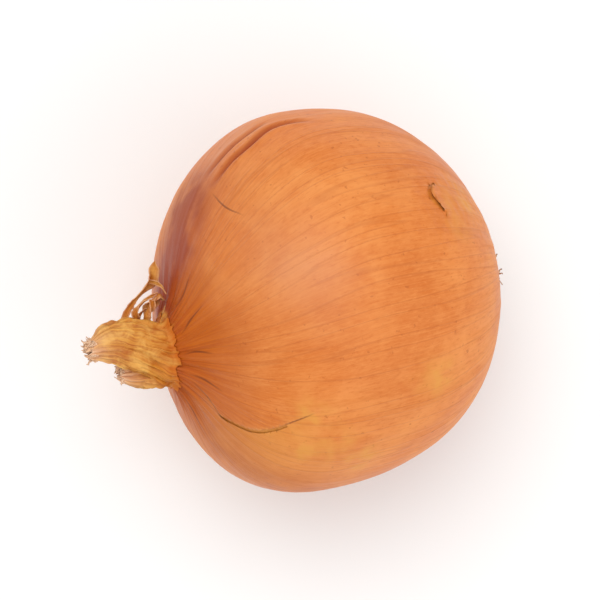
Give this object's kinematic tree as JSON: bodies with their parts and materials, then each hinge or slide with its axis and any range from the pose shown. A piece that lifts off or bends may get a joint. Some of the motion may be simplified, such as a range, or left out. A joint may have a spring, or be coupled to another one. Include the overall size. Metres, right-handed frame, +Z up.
{
  "type": "onion",
  "caption": "Dried brown onion lying on its side: a rounded bulb in satin papery skin, with a folded dry neck, torn leaf strips and a mat of short dry roots. Food, or a kitchen prop.",
  "frame": {"origin": "on the flat spot that the onion rests on, straight below the middle of its widest ring", "axes": "+Z up from the surface it rests on; +X level, away from the neck's side and towards the roots' side; the neck points 26 degrees above the level and 12 degrees from -X towards -Y"},
  "size_m": [0.0819, 0.0763, 0.0745],
  "materials": {
    "onion_skin": "satin, papery",
    "dry_leaf": "dry, creased",
    "root_plate": "dry, corky",
    "dry_root": "dry, fibrous"
  },
  "bodies": {
    "root": {"bulb": "onion_skin", "root_plate": "root_plate", "outer_root_1": "dry_root", "outer_root_2": "dry_root", "outer_root_3": "dry_root", "outer_root_4": "dry_root", "outer_root_5": "dry_root", "outer_root_6": "dry_root", "outer_root_7": "dry_root", "outer_root_8": "dry_root", "outer_root_9": "dry_root", "outer_root_10": "dry_root", "outer_root_11": "dry_root", "outer_root_12": "dry_root", "outer_root_13": "dry_root", "outer_root_14": "dry_root", "outer_root_15": "dry_root", "outer_root_16": "dry_root", "outer_root_17": "dry_root", "outer_root_18": "dry_root", "inner_root_1": "dry_root", "inner_root_2": "dry_root", "inner_root_3": "dry_root", "inner_root_4": "dry_root", "inner_root_5": "dry_root", "inner_root_6": "dry_root", "inner_root_7": "dry_root", "inner_root_8": "dry_root", "inner_root_9": "dry_root", "inner_root_10": "dry_root", "inner_root_11": "dry_root", "inner_root_12": "dry_root", "neck_leaf_front": "dry_leaf", "neck_leaf_back": "dry_leaf", "leaf_strip": "dry_leaf", "leaf_curl": "dry_leaf"}
  },
  "joints": []
}
